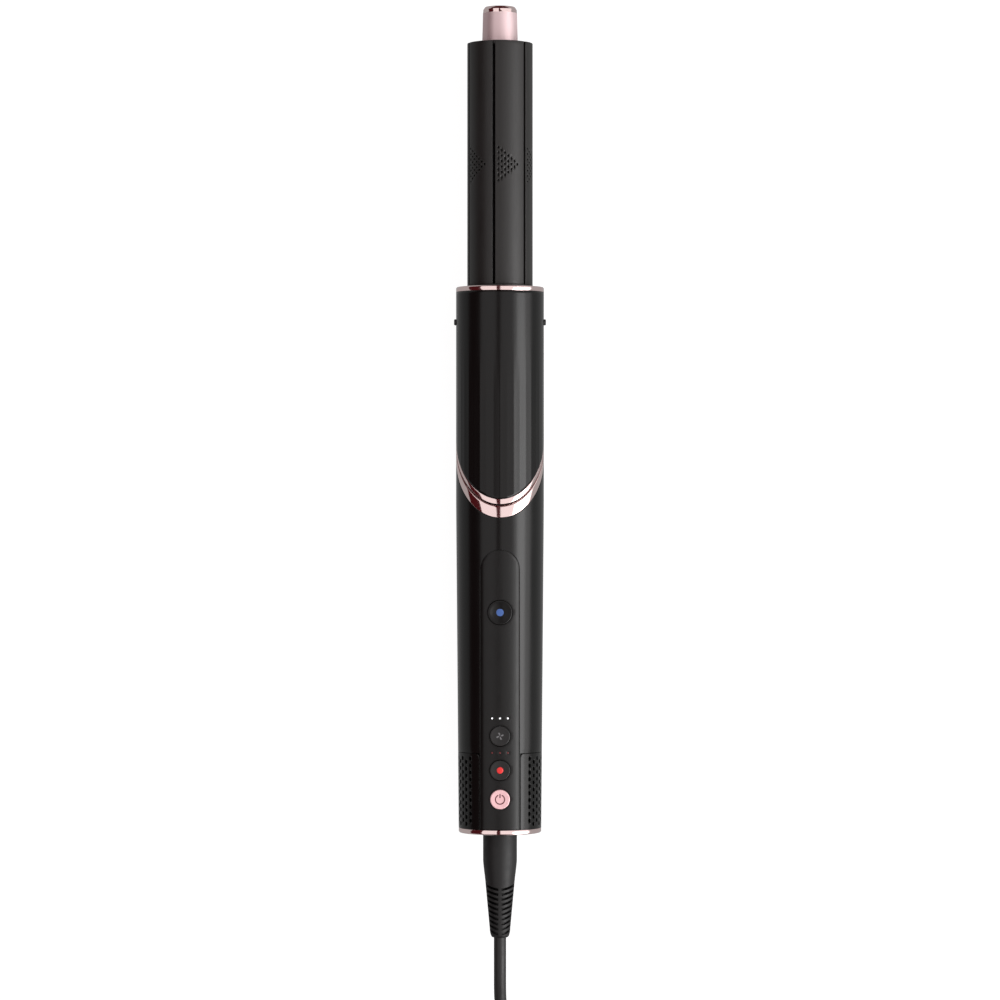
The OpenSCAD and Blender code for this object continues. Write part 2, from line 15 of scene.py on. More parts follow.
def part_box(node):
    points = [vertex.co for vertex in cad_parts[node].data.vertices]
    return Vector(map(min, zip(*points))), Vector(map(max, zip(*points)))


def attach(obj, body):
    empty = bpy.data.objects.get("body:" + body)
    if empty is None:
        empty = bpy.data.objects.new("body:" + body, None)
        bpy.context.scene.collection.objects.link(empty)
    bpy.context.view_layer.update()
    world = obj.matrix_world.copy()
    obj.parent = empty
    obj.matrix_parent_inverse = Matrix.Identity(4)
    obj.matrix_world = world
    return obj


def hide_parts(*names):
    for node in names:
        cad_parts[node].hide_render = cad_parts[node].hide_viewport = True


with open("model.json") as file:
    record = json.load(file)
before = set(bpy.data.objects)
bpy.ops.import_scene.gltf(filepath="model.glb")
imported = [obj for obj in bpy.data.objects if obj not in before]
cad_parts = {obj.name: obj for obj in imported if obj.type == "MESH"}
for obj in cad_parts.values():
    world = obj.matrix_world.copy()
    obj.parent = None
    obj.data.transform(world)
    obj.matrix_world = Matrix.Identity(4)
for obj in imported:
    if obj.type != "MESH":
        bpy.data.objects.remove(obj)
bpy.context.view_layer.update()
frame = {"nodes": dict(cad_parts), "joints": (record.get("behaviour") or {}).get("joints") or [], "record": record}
MM = 0.001


# ---- sizes, read from the frame ----

def low(node):
    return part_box(node)[0]


def high(node):
    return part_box(node)[1]


def middle(node):
    return (low(node) + high(node)) / 2


JOINTS = {joint["name"]: joint for joint in frame["joints"]}
FOOT_Y = low("base_ring").y
AXIS_Z = middle("barrel_end_cap").z
BODY_R = (high("head_top_ring").x - low("head_top_ring").x) / 2
FOOT_R = (high("base_ring").x - low("base_ring").x) / 2
BARREL_R = high("barrel_end_cap").x
TAPER = 160 * MM
PIVOT = Vector(JOINTS["head_swivel"]["pos_m"])
SLANT = Vector(JOINTS["head_swivel"]["axis"]).normalized()
COVER_TOP = high("filter_cover").y
RING_TOP = high("base_ring").y
PANEL_FOOT = low("control_panel").y
PANEL_TOP = high("control_panel").y
PANEL_HALF = high("control_panel").x
PANEL_SINK = 0.14 * MM
HEAD_TOP = high("head_shell").y
BARREL_FOOT = low("barrel_vanes").y
BARREL_TOP = high("barrel_end_cap").y
TIP_TOP = high("cool_tip").y
CORD_D = 6 * MM


def handle_r(y):
    """Radius of the handle's surface at y."""
    return FOOT_R + (BODY_R - FOOT_R) * min(1.0, (y - FOOT_Y) / TAPER)


def at(r, angle, y):
    """A point at a radius and an angle round the wand, angle 0 on the button side."""
    return Vector((r * math.sin(angle), y, AXIS_Z + r * math.cos(angle)))


def slant_y(r, angle, t):
    """Where the plane at height t above the turning plane cuts the line at r and angle."""
    return PIVOT.y + (t - r * math.cos(angle) * SLANT.z) / SLANT.y


def on_slant(r, angle, t):
    return at(r, angle, slant_y(r, angle, t))


def smooth(x, low_x, high_x):
    """0 below low_x, 1 above high_x, and an S-curve between."""
    u = min(1.0, max(0.0, (x - low_x) / (high_x - low_x)))
    return u * u * (3 - 2 * u)


# ---- camera, first ----

CAMERA_UP = 1.85


def make_camera():
    data = bpy.data.cameras.new("camera")
    data.lens = 136
    data.sensor_width = 36
    data.clip_end = 20
    camera = bpy.data.objects.new("camera", data)
    camera.location = (0, FOOT_Y + 162.5 * MM, AXIS_Z + CAMERA_UP)
    camera.rotation_euler = (0, 0, 0)
    bpy.context.scene.collection.objects.link(camera)
    bpy.context.scene.camera = camera


# ---- materials ----

def material(name, color, rough=0.4, metal=0.0, **inputs):
    """A principled material; a further input is given by its socket's name with underscores."""
    plain = bpy.data.materials.get(name)
    if plain:
        plain.name = name + "_plain"
    made = bpy.data.materials.new(name)
    made.use_nodes = True
    shader = made.node_tree.nodes["Principled BSDF"]
    shader.inputs["Base Color"].default_value = (*color, 1)
    shader.inputs["Roughness"].default_value = rough
    shader.inputs["Metallic"].default_value = metal
    for key, value in inputs.items():
        shader.inputs[key.replace("_", " ")].default_value = value
    return made


def add_node(mat, kind, **settings):
    node = mat.node_tree.nodes.new(kind)
    for key, value in settings.items():
        if key in node.inputs:
            node.inputs[key].default_value = value
        else:
            setattr(node, key, value)
    return node


def wire(mat, source, output, target, socket):
    mat.node_tree.links.new(source.outputs[output], target.inputs[socket])


def noise(mat, scale, stretch=(1, 1, 1), detail=3.0):
    """Noise in object space; stretch squeezes it along an axis."""
    place = add_node(mat, "ShaderNodeTexCoord")
    mapping = add_node(mat, "ShaderNodeMapping", Scale=stretch)
    wire(mat, place, "Object", mapping, "Vector")
    texture = add_node(mat, "ShaderNodeTexNoise", Scale=scale, Detail=detail)
    wire(mat, mapping, "Vector", texture, "Vector")
    return texture


def vary_roughness(mat, scale, least, most, stretch=(1, 1, 1)):
    """Handling marks: roughness drifts between least and most."""
    texture = noise(mat, scale, stretch)
    spread = add_node(mat, "ShaderNodeMapRange")
    for socket, value in zip(("From Min", "From Max", "To Min", "To Max"), (0.3, 0.7, least, most)):
        spread.inputs[socket].default_value = value
    wire(mat, texture, "Fac", spread, "Value")
    wire(mat, spread, "Result", mat.node_tree.nodes["Principled BSDF"], "Roughness")
    return mat


def vary_color(mat, scale, dark, light, stretch=(1, 1, 1), detail=3.0):
    """The colour drifts between dark and light."""
    texture = noise(mat, scale, stretch, detail)
    ramp = add_node(mat, "ShaderNodeValToRGB")
    ramp.color_ramp.elements[0].position = 0.3
    ramp.color_ramp.elements[0].color = (*dark, 1)
    ramp.color_ramp.elements[1].position = 0.7
    ramp.color_ramp.elements[1].color = (*light, 1)
    wire(mat, texture, "Fac", ramp, "Fac")
    wire(mat, ramp, "Color", mat.node_tree.nodes["Principled BSDF"], "Base Color")
    return mat


def roughen(mat, scale, height_mm, stretch=(1, 1, 1), strength=1.0):
    """A fine grain in the surface."""
    texture = noise(mat, scale, stretch)
    bump = add_node(mat, "ShaderNodeBump", Distance=height_mm * MM, Strength=strength)
    wire(mat, texture, "Fac", bump, "Height")
    wire(mat, bump, "Normal", mat.node_tree.nodes["Principled BSDF"], "Normal")
    return mat


def make_materials():
    made = {}

    def add(mat):
        made[mat.name] = mat
        return mat

    gloss = add(material("gloss_black", (0.005, 0.005, 0.0048), 0.2, Specular_IOR_Level=0.3))
    vary_roughness(gloss, 60, 0.19, 0.25, (1, 0.35, 1))
    roughen(gloss, 900, 0.0012)
    panel = add(material("panel_black", (0.0052, 0.0052, 0.005), 0.33, Specular_IOR_Level=0.3))
    vary_roughness(panel, 150, 0.3, 0.36)
    roughen(panel, 5200, 0.012)
    button = add(material("button_black", (0.005, 0.005, 0.0048), 0.4))
    vary_roughness(button, 300, 0.36, 0.46)
    # The cool-shot key's dish: a blacker colour and a lower specular level than the key's, painted shade in the
    # hollow.
    dish = add(material("dish_painted_shade_black", (0.002, 0.002, 0.002), 0.3, Specular_IOR_Level=0.25))
    vary_roughness(dish, 300, 0.27, 0.34)
    roughen(button, 5200, 0.006)
    gold = add(material("rose_gold", (0.92, 0.74, 0.72), 0.09, 1.0))
    vary_roughness(gold, 250, 0.07, 0.12, (1, 0.4, 1))
    roughen(gold, 2600, 0.0008)
    cap = add(material("rose_cap", (0.95, 0.6, 0.62), 0.42, 0.5))
    vary_roughness(cap, 700, 0.38, 0.46)
    roughen(cap, 4200, 0.004)
    satin = add(material("tip_satin", (0.76, 0.59, 0.6), 0.44, 0.6))
    vary_roughness(satin, 500, 0.42, 0.5, (1, 0.1, 1))
    roughen(satin, 3800, 0.005)
    barrel = add(material("barrel_black", (0.009, 0.0086, 0.008), 0.42))
    vary_roughness(barrel, 220, 0.39, 0.46, (1, 0.3, 1))
    roughen(barrel, 3200, 0.005)
    inner = add(material("inner_plastic", (0.03, 0.03, 0.032), 0.5))
    vary_color(inner, 400, (0.024, 0.024, 0.026), (0.038, 0.038, 0.04))
    roughen(inner, 2400, 0.02)
    white = add(material("white_plastic", (0.62, 0.62, 0.58), 0.45))
    vary_color(white, 300, (0.56, 0.56, 0.52), (0.66, 0.66, 0.62))
    roughen(white, 2400, 0.01)
    board = add(material("board_green", (0.02, 0.1, 0.045), 0.3))
    vary_color(board, 900, (0.015, 0.08, 0.035), (0.03, 0.13, 0.06), (1, 0.2, 1))
    roughen(board, 1500, 0.02)
    switch = add(material("switch_black", (0.02, 0.02, 0.02), 0.45))
    vary_roughness(switch, 900, 0.38, 0.52)
    steel = add(material("steel", (0.52, 0.52, 0.54), 0.3, 1.0))
    vary_roughness(steel, 500, 0.24, 0.38, (0.2, 1, 0.2))
    roughen(steel, 2000, 0.006, (0.15, 1, 0.15))
    copper = add(material("copper", (0.6, 0.27, 0.12), 0.35, 1.0))
    vary_color(copper, 1500, (0.5, 0.2, 0.08), (0.68, 0.32, 0.15), (1, 0.08, 1))
    roughen(copper, 2500, 0.08, (1, 0.05, 1))
    mica = add(material("mica", (0.5, 0.44, 0.3), 0.4, Coat_Weight=0.3))
    vary_color(mica, 260, (0.42, 0.36, 0.24), (0.62, 0.56, 0.42), detail=8.0)
    heating = add(material("heating_wire", (0.25, 0.2, 0.17), 0.5, 1.0))
    vary_color(heating, 1200, (0.2, 0.15, 0.14), (0.33, 0.27, 0.22))
    rubber = add(material("soft_rubber", (0.01, 0.01, 0.0102), 0.52, Specular_IOR_Level=0.35))
    vary_roughness(rubber, 260, 0.47, 0.6)
    roughen(rubber, 3600, 0.012)
    cord = add(material("cord_rubber", (0.014, 0.0136, 0.0136), 0.48, Specular_IOR_Level=0.4))
    vary_roughness(cord, 300, 0.42, 0.54)
    roughen(cord, 3600, 0.01)
    plug = add(material("plug_black", (0.02, 0.02, 0.021), 0.45))
    vary_roughness(plug, 260, 0.4, 0.52)
    roughen(plug, 3600, 0.014)
    metal = add(material("plug_metal", (0.68, 0.65, 0.58), 0.22, 1.0))
    vary_roughness(metal, 700, 0.16, 0.3, (1, 0.1, 1))
    roughen(metal, 2200, 0.004, (1, 0.1, 1))
    lit = add(material("light_white", (0.9, 0.93, 1), 0.3,
                       Emission_Color=(1, 1, 1, 1), Emission_Strength=0.8))
    vary_roughness(lit, 900, 0.25, 0.35)
    dim = add(material("light_red", (0.09, 0.01, 0.012), 0.3,
                       Emission_Color=(1, 0.06, 0.06, 1), Emission_Strength=0.05))
    vary_roughness(dim, 900, 0.25, 0.35)
    red = add(material("mark_red", (0.78, 0.03, 0.03), 0.35))
    vary_roughness(red, 900, 0.3, 0.42)
    blue = add(material("mark_blue", (0.055, 0.13, 0.38), 0.35))
    vary_roughness(blue, 900, 0.3, 0.42)
    icon = add(material("icon_red", (0.11, 0.012, 0.02), 0.5))
    vary_roughness(icon, 900, 0.4, 0.52)
    grey = add(material("icon_grey", (0.15, 0.15, 0.155), 0.45))
    vary_roughness(grey, 900, 0.4, 0.52)
    tie = add(material("tie_black", (0.02, 0.02, 0.021), 0.85, Sheen_Weight=0.25))
    vary_color(tie, 2500, (0.012, 0.012, 0.013), (0.035, 0.035, 0.037))
    roughen(tie, 2600, 0.12)
    return made


# ---- mesh tools ----

def make_piece(name, verts, faces, body, mats, face_mats=None, merge=1e-6):
    """A smooth-shaded mesh object that rides on a body."""
    mesh = bpy.data.meshes.new(name)
    mesh.from_pydata([tuple(v) for v in verts], [], faces)
    piece = bpy.data.objects.new(name, mesh)
    bpy.context.scene.collection.objects.link(piece)
    for mat in mats:
        mesh.materials.append(MATS[mat])
    for polygon in mesh.polygons:
        polygon.use_smooth = True
        if face_mats:
            polygon.material_index = face_mats[polygon.index]
    if merge:
        bm = bmesh.new()
        bm.from_mesh(mesh)
        bmesh.ops.remove_doubles(bm, verts=bm.verts, dist=merge)
        bmesh.ops.dissolve_degenerate(bm, edges=bm.edges, dist=merge)
        bm.to_mesh(mesh)
        bm.free()
    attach(piece, body)
    return piece


def grid(columns, wrap=False, start=0):
    """Points and quads of a surface; its columns run round the wand, their points along it."""
    verts = [p for column in columns for p in column]
    rows = len(columns[0])
    count = len(columns)
    faces = []
    for i in range(count if wrap else count - 1):
        a = start + i * rows
        b = start + (i + 1) % count * rows
        faces += [(a + j, b + j, b + j + 1, a + j + 1) for j in range(rows - 1)]
    return verts, faces


def closed_sweep(section, place, steps, closed_section=True):
    """A ring or lathe: section's (r, h) points are placed at each angle round a full turn."""
    verts, faces = [], []
    count = len(section)
    for i in range(steps):
        angle = math.tau * i / steps
        verts += [place(r, angle, h) for r, h in section]
    last = count if closed_section else count - 1
    for i in range(steps):
        a, b = i * count, (i + 1) % steps * count
        faces += [(a + j, b + j, b + (j + 1) % count, a + (j + 1) % count) for j in range(last)]
    return verts, faces


def rounded_section(r0, r1, h0, h1, radius, steps=4):
    """A rectangle in (r, h) with its two outer corners rounded, outer face first, upwards."""
    points = [(r0, h0)]
    for i in range(steps + 1):
        turn = -math.pi / 2 + math.pi / 2 * i / steps
        points.append((r1 - radius + radius * math.cos(turn), h0 + radius + radius * math.sin(turn)))
    for i in range(steps + 1):
        turn = math.pi / 2 * i / steps
        points.append((r1 - radius + radius * math.cos(turn), h1 - radius + radius * math.sin(turn)))
    points.append((r0, h1))
    return points


def apply_modifiers(piece):
    """Turns the piece's modifiers into its mesh."""
    graph = bpy.context.evaluated_depsgraph_get()
    mesh = bpy.data.meshes.new_from_object(piece.evaluated_get(graph), depsgraph=graph)
    piece.modifiers.clear()
    piece.data = mesh


def thicken(piece, thickness, bevel=0.0, segments=2, angle=50):
    """Gives a skin its wall, inwards, and rounds the wall's edges."""
    wall = piece.modifiers.new("wall", "SOLIDIFY")
    wall.thickness = thickness
    wall.offset = -1
    if bevel:
        soften(piece, bevel, segments, angle)
    apply_modifiers(piece)


def soften(piece, width, segments=2, angle=50):
    edge = piece.modifiers.new("edge", "BEVEL")
    edge.width = width
    edge.segments = segments
    edge.limit_method = "ANGLE"
    edge.angle_limit = math.radians(angle)
    edge.use_clamp_overlap = True


def cut(piece, verts, faces):
    """Cuts a set of closed solids out of the piece."""
    mesh = bpy.data.meshes.new("cutter")
    mesh.from_pydata([tuple(v) for v in verts], [], faces)
    cutter = bpy.data.objects.new("cutter", mesh)
    bpy.context.scene.collection.objects.link(cutter)
    boolean = piece.modifiers.new("cut", "BOOLEAN")
    boolean.operation = "DIFFERENCE"
    boolean.solver = "EXACT"
    boolean.object = cutter
    apply_modifiers(piece)
    bpy.data.objects.remove(cutter)
    bpy.data.meshes.remove(mesh)


def prism(outline_in, outline_out, start):
    """A closed prism between two outlines of the same count, both anticlockwise seen from outside."""
    count = len(outline_in)
    verts = list(outline_in) + list(outline_out)
    faces = [tuple(start + i for i in reversed(range(count))), tuple(start + count + i for i in range(count))]
    for i in range(count):
        j = (i + 1) % count
        faces.append((start + i, start + j, start + count + j, start + count + i))
    return verts, faces


# ---- cord, made right after the camera ----

# Centre line from the strain relief to the hank, in mm; the hank's turns are worked out below
LEAD = [
    (0, -253.5, 21.5), (0, -260, 21.4), (0, -266, 20.9), (0, -272, 19.8), (0, -278, 18.1),
    (0.1, -284, 15.8), (0.7, -290, 13.3), (2, -296, 10.9), (4.2, -302, 8.7), (7.2, -308, 6.9),
    (10.7, -314, 5.4), (14.4, -320, 4.5), (17.9, -326, 4.1), (21, -332, 4), (23.5, -338, 4),
    (25.1, -344, 4), (25.9, -350, 4), (26, -357, 4), (26, -364, 4), (26, -370, 4),
]
TAIL = [
    (26, -432, 22), (26, -438, 22), (25.7, -444, 21.8), (24.6, -450, 21), (22.6, -456, 19.7),
    (20, -462, 18), (17.1, -468, 16.3), (14.6, -474, 14.8), (12.9, -480, 13.8), (12.1, -486, 13.4),
    (12, -492, 13.4),
]
HANK_NEAR = -370
HANK_FAR = -432
OUTER = 26
INNER = 20
BEND = 23
RUN_POINTS = 5
ARC_POINTS = 12


def arc(centre_x, centre_y, radius, start, turn, z0, z1):
    """Points of a half turn of the hank; start and turn are in degrees. It climbs from z0 to z1."""
    points = []
    for i in range(ARC_POINTS + 1):
        share = i / ARC_POINTS
        angle = math.radians(start + turn * share)
        climb = z0 + (z1 - z0) * smooth(share, 0, 1)
        points.append((centre_x + radius * math.cos(angle), centre_y + radius * math.sin(angle), climb))
    return points


def run(x, y0, y1, z):
    """Points inside a straight run, its ends left out."""
    return [(x, y0 + (y1 - y0) * i / RUN_POINTS, z) for i in range(1, RUN_POINTS)]


def hank_points():
    """The cord wound in four layers, in and out by turns, from the lead's end to the tail's start."""
    points = []
    for layer in range(4):
        z = 4 + 6 * layer
        up = z + 6
        lanes = (OUTER, INNER) if layer % 2 == 0 else (INNER, OUTER)
        for lap, lane in enumerate(lanes):
            points += run(lane, HANK_NEAR, HANK_FAR, z)
            if layer == 3 and lap == 1:
                return points
            points += arc(0, HANK_FAR, lane, 0, -180, z, z)
            points += run(-lane, HANK_FAR, HANK_NEAR, z)
            if lap == 0:
                shift = -3 if layer % 2 == 0 else 3
                points += arc(shift, HANK_NEAR, BEND, 180, -180, z, z)
            else:
                points += arc(0, HANK_NEAR, lane, 180, -180, z, up)
    return points


def make_cord():
    """One open spline from the strain relief to the plug."""
    route = [Vector(p) * MM for p in [*LEAD, *hank_points(), *TAIL]]
    curve = bpy.data.curves.new("cord", "CURVE")
    curve.dimensions = "3D"
    curve.bevel_depth = CORD_D / 2
    curve.bevel_resolution = 6
    curve.use_fill_caps = True
    curve.resolution_u = 4
    spline = curve.splines.new("NURBS")
    spline.points.add(len(route) - 1)
    for point, place in zip(spline.points, route):
        point.co = (*place, 1)
    spline.order_u = 3
    spline.use_endpoint_u = True
    curve.materials.append(MATS["cord_rubber"])
    cord = bpy.data.objects.new("cord", curve)
    bpy.context.scene.collection.objects.link(cord)
    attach(cord, "handle")
    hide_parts("cord_lead", "cord_hank", "cord_tail")
    return cord


make_camera()
MATS = make_materials()
CORD = make_cord()


# ---- handle ----

POCKET_HALF = PANEL_HALF + 0.05 * MM
TONGUE_HALF = 9.8 * MM
ARCH_Y = PANEL_TOP - PANEL_HALF
SEAM = 0.25 * MM
TURN_GAP_LOW = -3.45 * MM
HANDLE_RING_TOP = -0.3 * MM
HEAD_RING_FOOT = 0.45 * MM
HEAD_RING_TOP = 2 * MM


def angle_of(x, y):
    """The angle at which the handle's surface stands off its middle plane by x."""
    return math.asin(x / handle_r(y))


def handle_point(angle, y):
    return at(handle_r(y), angle, y)


def spaced(a, b, count):
    return [a + (b - a) * i / count for i in range(count + 1)]


def side_columns():
    """Columns from the pocket's right edge round the back to its left edge."""
    columns = []
    stations = [("x", POCKET_HALF), ("x", TONGUE_HALF)]
    stations += [("turn", t) for t in spaced(0, 1, 230)[1:-1]]
    stations += [("x", -TONGUE_HALF), ("x", -POCKET_HALF)]

    def angle_at(station, y):
        kind, value = station
        if kind == "x":
            side = angle_of(abs(value), y)
            return side if value > 0 else math.tau - side
        edge = angle_of(TONGUE_HALF, y)
        return edge + (math.tau - 2 * edge) * value

    for station in stations:
        low_rows = spaced(COVER_TOP + SEAM, ARCH_Y, 26)
        top = slant_y(BODY_R, angle_at(station, ARCH_Y + 60 * MM), TURN_GAP_LOW)
        rows = low_rows[:-1] + spaced(ARCH_Y, top, 40)
        columns.append([handle_point(angle_at(station, y), y) for y in rows])
    return columns


def front_columns():
    """Columns above the pocket's round top."""
    columns = []
    for turn in spaced(-math.pi / 2, math.pi / 2, 40):
        x = POCKET_HALF * math.sin(turn)
        arch = ARCH_Y + POCKET_HALF * math.cos(turn)
        top = slant_y(BODY_R, math.asin(x / BODY_R), TURN_GAP_LOW)
        columns.append([handle_point(angle_of(x, y), y) for y in spaced(arch, top, 40)])
    return columns


def lip_columns(side):
    """The narrow lip beside the panel, below the filter cover's top."""
    xs = (POCKET_HALF, TONGUE_HALF) if side > 0 else (-TONGUE_HALF, -POCKET_HALF)
    rows = spaced(PANEL_FOOT, COVER_TOP + SEAM, 14)
    return [[handle_point(angle_of(x, y), y) for y in rows] for x in xs]


def make_handle_shell():
    verts, faces = [], []
    for columns in (side_columns(), front_columns(), lip_columns(1), lip_columns(-1)):
        more_verts, more_faces = grid(columns, start=len(verts))
        verts += more_verts
        faces += more_faces
    shell = make_piece("handle_casing", verts, faces, "handle", ["gloss_black"], merge=2e-6)
    thicken(shell, 2 * MM, 0.1 * MM, 2, 60)
    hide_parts("handle_shell")


def panel_point(x, y, depth):
    """A point of the panel, at a depth under its face."""
    angle = angle_of(x, y)
    return at(handle_r(y) - PANEL_SINK - depth, angle, y)


BUTTON_GAP = 0.25 * MM
BUTTON_RIM = 1 * MM
LIGHT_R = 0.42 * MM


def holes():
    """(x, y, radius) of every hole in the panel."""
    found = []
    for node in ("power_button", "temperature_button", "airflow_button", "cool_shot_button"):
        centre = middle(node)
        flange = (high(node).x - low(node).x) / 2
        found.append((centre.x, centre.y, flange - BUTTON_RIM + BUTTON_GAP))
    for node in ("red_lights", "white_lights"):
        centre = middle(node)
        pitch = high(node).x - centre.x - LIGHT_R
        found += [(side * pitch, centre.y, LIGHT_R + 0.04 * MM) for side in (-1, 0, 1)]
    return found


def outline(inset):
    """The panel's edge, drawn in by inset: up the right, round the top, down the left, along the foot."""
    half = PANEL_HALF - inset
    foot = PANEL_FOOT + inset
    points = [(half, y) for y in spaced(foot, ARCH_Y, 150)[:-1]]
    points += [(half * math.cos(t), ARCH_Y + half * math.sin(t)) for t in spaced(0, math.pi, 48)]
    points += [(-half, y) for y in spaced(ARCH_Y, foot, 150)[1:]]
    points += [(x, foot) for x in spaced(-half, half, 24)[1:-1]]
    return points


def circle(x, y, r, count):
    turns = [math.tau * i / count for i in range(count)]
    return [(x + r * math.cos(turn), y + r * math.sin(turn)) for turn in turns]


def inside(point, loop):
    """Whether a point lies inside a closed loop of (x, y) points."""
    odd = False
    for (x0, y0), (x1, y1) in zip(loop, loop[1:] + loop[:1]):
        if (y0 > point.y) != (y1 > point.y) and point.x < x0 + (x1 - x0) * (point.y - y0) / (y1 - y0):
            odd = not odd
    return odd


def make_panel():
    """A thin strip with softened edges round its outline and its holes."""
    edge = 0.1 * MM
    openings = holes()
    loops = [(outline(edge), outline(0))]
    for x, y, r in openings:
        count = 64 if r > 2 * MM else 20
        lip = edge if r > 2 * MM else 0.08 * MM
        loops.append((circle(x, y, r + lip, count), circle(x, y, r, count)))
    flat, ties = [], []
    for inner, _ in loops:
        first = len(flat)
        flat += inner
        ties += [(first + i, first + (i + 1) % len(inner)) for i in range(len(inner))]
    step = 1.1 * MM
    for i in range(-8, 9):
        y = PANEL_FOOT + step
        while y < PANEL_TOP:
            x = i * step
            clear = all(math.hypot(x - hx, y - hy) > r + 0.7 * MM for hx, hy, r in openings)
            reach = PANEL_HALF - 0.8 * MM
            within = abs(x) < reach and (y < ARCH_Y or math.hypot(x, y - ARCH_Y) < reach)
            if clear and within:
                flat.append((x, y))
            y += step
    points, _, triangles, *_ = geometry.delaunay_2d_cdt([Vector(p) for p in flat], ties, [], 0, 1e-7)

    def kept(triangle):
        centre = sum((points[i] for i in triangle), Vector((0, 0))) / 3
        if not inside(centre, loops[0][0]):
            return False
        for (x, y, r), (loop, _) in zip(openings, loops[1:]):
            if math.hypot(centre.x - x, centre.y - y) < r + edge and inside(centre, loop):
                return False
        return True

    triangles = [t for t in triangles if kept(t)]
    verts = [panel_point(p.x, p.y, 0) for p in points]
    faces = [tuple(t) for t in triangles]
    under = len(verts)
    verts += [panel_point(p.x, p.y, 0.65 * MM) for p in points]
    faces += [tuple(under + i for i in reversed(t)) for t in triangles]
    first = 0
    for inner, outer in loops:
        count = len(inner)
        rim = len(verts)
        half = [((a[0] + b[0]) / 2, (a[1] + b[1]) / 2) for a, b in zip(inner, outer)]
        for ring, depth in ((half, 0.03), (outer, 0.1), (outer, 0.65)):
            verts += [panel_point(*p, depth * MM) for p in ring]
        rings = [first, rim, rim + count, rim + 2 * count, under + first]
        outward = 1 if first == 0 else -1
        for a, b in zip(rings, rings[1:]):
            for i in range(count):
                j = (i + 1) % count
                quad = (a + i, b + i, b + j, a + j)
                faces.append(quad if outward > 0 else quad[::-1])
        first += count
    panel = make_piece("panel", verts, faces, "handle", ["panel_black"], merge=0)
    tidy(panel)
    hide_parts("control_panel")


def tidy(piece):
    """Joins doubled points and turns every face outwards."""
    bm = bmesh.new()
    bm.from_mesh(piece.data)
    bmesh.ops.remove_doubles(bm, verts=bm.verts, dist=1e-7)
    loose = [v for v in bm.verts if not v.link_faces]
    bmesh.ops.delete(bm, geom=loose, context="VERTS")
    bmesh.ops.recalc_face_normals(bm, faces=bm.faces)
    bm.to_mesh(piece.data)
    bm.free()


# ---- buttons, lights and marks ----

def face_z(y):
    """Height of the panel's face over the handle's middle line at y."""
    return AXIS_Z + handle_r(y) - PANEL_SINK


def button_place(y):
    """Places (r, angle, height over the panel) round a button's centre at y."""
    top = face_z(y)
    return lambda r, angle, h: Vector((r * math.sin(angle), y + r * math.cos(angle), top + h))


def make_button(node, body, mats, profile, name=None):
    """A turned button; profile holds (radius, height over the panel) in mm, from rim to centre."""
    place = button_place(middle(node).y)
    section = [(r * MM, h * MM) for r, h in profile]
    verts, faces = closed_sweep(section, place, 96, closed_section=False)
    per_turn = len(section) - 1
    # On a key with two materials the dish faces take the second one; on the cool-shot key that is painted shade in
    # the hollow.
    dished = [1 if len(mats) > 1 and i % per_turn >= per_turn - DISH_STEPS else 0 for i in range(len(faces))]
    piece = make_piece(name or node.replace("button", "key"), verts, faces, body, mats, dished)
    tidy(piece)
    return piece


DISH_STEPS = 12


def key_profile(r, dish, crown, dish_r, foot=-4.2):
    """A key with a flange inside, rounded shoulders and a dished face."""
    points = [(0, foot), (r + 1, foot), (r + 1, foot + 0.8), (r, foot + 0.8), (r, crown - 0.35)]
    for i in range(1, 6):
        turn = math.pi / 2 * i / 5
        points.append((r - 0.35 + 0.35 * math.cos(turn), crown - 0.35 + 0.35 * math.sin(turn)))
    for i in range(DISH_STEPS):
        radius = dish_r * (1 - (i + 1) / DISH_STEPS)
        drop = dish * (1 - (radius / dish_r) ** 2)
        points.append((radius, crown - drop))
    return points


def flat_mark(name, outlines, y, h, thick, body, mat):
    """A raised mark: each outline is a list of (x, y) in mm from the button's centre, anticlockwise."""
    verts, faces = [], []
    top = face_z(y)
    for line in outlines:
        lower = [Vector((px * MM, y + py * MM, top + (h - thick) * MM)) for px, py in line]
        upper = [v + Vector((0, 0, thick * MM)) for v in lower]
        more_verts, more_faces = prism(lower, upper, len(verts))
        verts += more_verts
        faces += more_faces
    piece = make_piece(name, verts, faces, body, [mat], merge=0)
    for polygon in piece.data.polygons:
        polygon.use_smooth = False
    return piece


def band(r_in, r_out, start, end, steps):
    """Outlines of an open ring, as short closed pieces that share their ends."""
    pieces = []
    for i in range(steps):
        a = math.radians(start + (end - start) * i / steps)
        b = math.radians(start + (end - start) * (i + 1) / steps)
        pieces.append([
            (r_in * math.cos(a), r_in * math.sin(a)), (r_out * math.cos(a), r_out * math.sin(a)),
            (r_out * math.cos(b), r_out * math.sin(b)), (r_in * math.cos(b), r_in * math.sin(b)),
        ])
    return pieces


def make_power_button():
    y = middle("power_button").y
    key = make_button("power_button", "power", ["rose_cap"], key_profile(4.75, 0.16, 0.3, 4.35))
    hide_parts("power_button")
    bar = [(-0.28, 0.8), (0.28, 0.8), (0.28, 2.95), (-0.28, 2.95)]
    ring = band(1.95, 2.5, 112, 428, 60)
    flat_mark("power_mark", [*ring, bar], y, 0.2, 0.14, "power", "icon_red")


def make_temperature_button():
    key = make_button("temperature_button", "temperature", ["button_black"],
                      key_profile(4.9, 0.3, 0.05, 4.5))
    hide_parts("temperature_button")
    dot = make_button("temperature_dot", "temperature", ["mark_red"],
                      [(0, -0.5), (1.6, -0.5), (1.6, -0.2), (1.5, -0.1), (1.2, -0.03), (0.6, 0.02),
                       (0, 0.03)],
                      "temperature_mark")
    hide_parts("temperature_dot")


